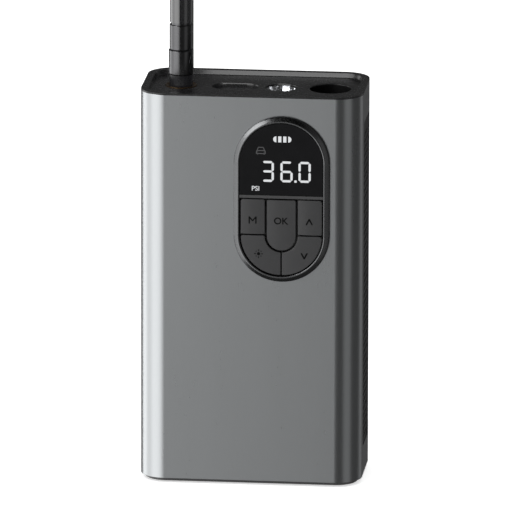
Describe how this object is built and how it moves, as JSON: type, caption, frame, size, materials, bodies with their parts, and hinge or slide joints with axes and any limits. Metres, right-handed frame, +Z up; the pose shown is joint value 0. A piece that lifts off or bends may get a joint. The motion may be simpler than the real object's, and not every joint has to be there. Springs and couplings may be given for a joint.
{
  "type": "handheld tyre inflator",
  "caption": "Pocket cordless air pump: aluminium sleeve with a raised oval control panel, deck ports, a short air hose with a screw-on chuck, and a crank compressor inside.",
  "frame": {"origin": "centre of the footprint on the surface that the pump stands on, measured without the hose and chuck", "axes": "+Z up along the sleeve, -Y out of the face with the control panel, +X towards the storage hole"},
  "size_m": [0.077, 0.0944, 0.2269],
  "materials": {
    "anodised_sleeve": "bead-blasted, grey anodised",
    "satin_black": "satin moulded",
    "pad_rubber": "matt",
    "grille_black": "fine matt",
    "bezel_metal": "dark satin metallic",
    "dark_glass": "gloss",
    "white_moulding": "natural nylon",
    "circuit_board": "solder mask",
    "bright_steel": "nickel plated",
    "key_rubber": "soft touch",
    "mirror_coat": "vacuum metallised",
    "clear_lens": "clear",
    "led_phosphor": "matt",
    "inner_black": "moulded",
    "bronze_ring": "dark bronze, satin",
    "brass_parts": "turned",
    "seal_rubber": "matt",
    "hose_fitting": "black anodised, satin",
    "hose_rubber": "smooth, semi-gloss",
    "nut_metal": "black anodised knurl",
    "cast_alloy": "machined casting",
    "frame_steel": "pressed, oiled",
    "clear_tube": "translucent silicone",
    "cell_wrap": "shrink sleeve",
    "wire_red": "insulated wire"
  },
  "bodies": {
    "body": {"housing": "anodised_sleeve", "top_cap": "satin_black", "base_cap": "satin_black", "base_screws": "bright_steel", "foot_pad": "pad_rubber", "side_grille_left": "grille_black", "side_grille_right": "grille_black", "panel_bezel": "bezel_metal", "panel_frame": "satin_black", "display_window": "dark_glass", "display_module": "white_moulding", "control_board": "circuit_board", "tact_switches": "bright_steel", "torch_reflector": "mirror_coat", "torch_lens": "clear_lens", "torch_led": "led_phosphor", "usb_shell": "bright_steel", "usb_tongue": "inner_black", "outlet_ring": "bronze_ring", "outlet_socket": "brass_parts", "outlet_o_ring": "seal_rubber", "hose_neck": "hose_fitting", "hose_collar": "hose_fitting", "hose_ferrule": "hose_fitting", "air_hose": "hose_rubber", "chuck_body": "hose_fitting", "chuck_seal": "seal_rubber", "chuck_pin": "brass_parts", "storage_sleeve": "satin_black", "gear_frame": "frame_steel", "cylinder_barrel": "cast_alloy", "cylinder_head": "cast_alloy", "head_screws": "bright_steel", "delivery_tube": "clear_tube", "pressure_sensor": "inner_black", "motor_can": "frame_steel", "motor_end_cap": "inner_black", "gear_axle": "bright_steel", "battery_cells": "cell_wrap", "battery_holder": "white_moulding", "battery_strips": "bright_steel", "main_board": "circuit_board", "board_screws": "bright_steel", "wiring": "wire_red"},
    "key_mode": {"button_mode": "key_rubber"},
    "key_ok": {"button_ok": "key_rubber"},
    "key_up": {"button_up": "key_rubber"},
    "key_light": {"button_light": "key_rubber"},
    "key_down": {"button_down": "key_rubber"},
    "rotor": {"motor_shaft": "bright_steel", "motor_pinion": "brass_parts", "cooling_fan": "inner_black"},
    "crank": {"crank_gear": "frame_steel", "crank_pin": "bright_steel", "axle_bush": "brass_parts"},
    "spacer": {"crank_washer": "bright_steel"},
    "slider": {"yoke": "white_moulding", "piston": "cast_alloy", "piston_ring": "white_moulding"},
    "nut": {"chuck_nut": "nut_metal"}
  },
  "joints": [
    {"name": "key_mode_press", "type": "slide", "parent": "body", "child": "key_mode", "axis": [0, 1, 0], "range_m": [0, 0.0006], "stiffness_N_per_m": 2000},
    {"name": "key_ok_press", "type": "slide", "parent": "body", "child": "key_ok", "axis": [0, 1, 0], "range_m": [0, 0.0006], "stiffness_N_per_m": 2000},
    {"name": "key_up_press", "type": "slide", "parent": "body", "child": "key_up", "axis": [0, 1, 0], "range_m": [0, 0.0006], "stiffness_N_per_m": 2000},
    {"name": "key_light_press", "type": "slide", "parent": "body", "child": "key_light", "axis": [0, 1, 0], "range_m": [0, 0.0006], "stiffness_N_per_m": 2000},
    {"name": "key_down_press", "type": "slide", "parent": "body", "child": "key_down", "axis": [0, 1, 0], "range_m": [0, 0.0006], "stiffness_N_per_m": 2000},
    {"name": "crank_turn", "type": "hinge", "parent": "body", "child": "crank", "pos_m": [-0.0216, 0.0011, 0.0418], "axis": [1, 0, 0], "continuous": true},
    {"name": "spacer_turn", "type": "hinge", "parent": "crank", "child": "spacer", "pos_m": [-0.0222, 0.0011, 0.0458], "axis": [1, 0, 0], "continuous": true},
    {"name": "slider_stroke", "type": "hinge", "parent": "spacer", "child": "slider", "pos_m": [-0.0258, 0.0011, 0.0498], "axis": [1, 0, 0], "continuous": true},
    {"name": "rotor_spin", "type": "hinge", "parent": "body", "child": "rotor", "pos_m": [0, 0.0011, 0.021], "axis": [1, 0, 0], "continuous": true},
    {"name": "nut_turn", "type": "hinge", "parent": "body", "child": "nut", "pos_m": [0.018, 0.0669, 0.0068], "axis": [1, 0, 0], "continuous": true}
  ],
  "couplings": [
    {"joint": "spacer_turn", "follows": "crank_turn", "ratio": -2},
    {"joint": "slider_stroke", "follows": "crank_turn", "ratio": 1},
    {"joint": "rotor_spin", "follows": "crank_turn", "ratio": -4.2}
  ]
}
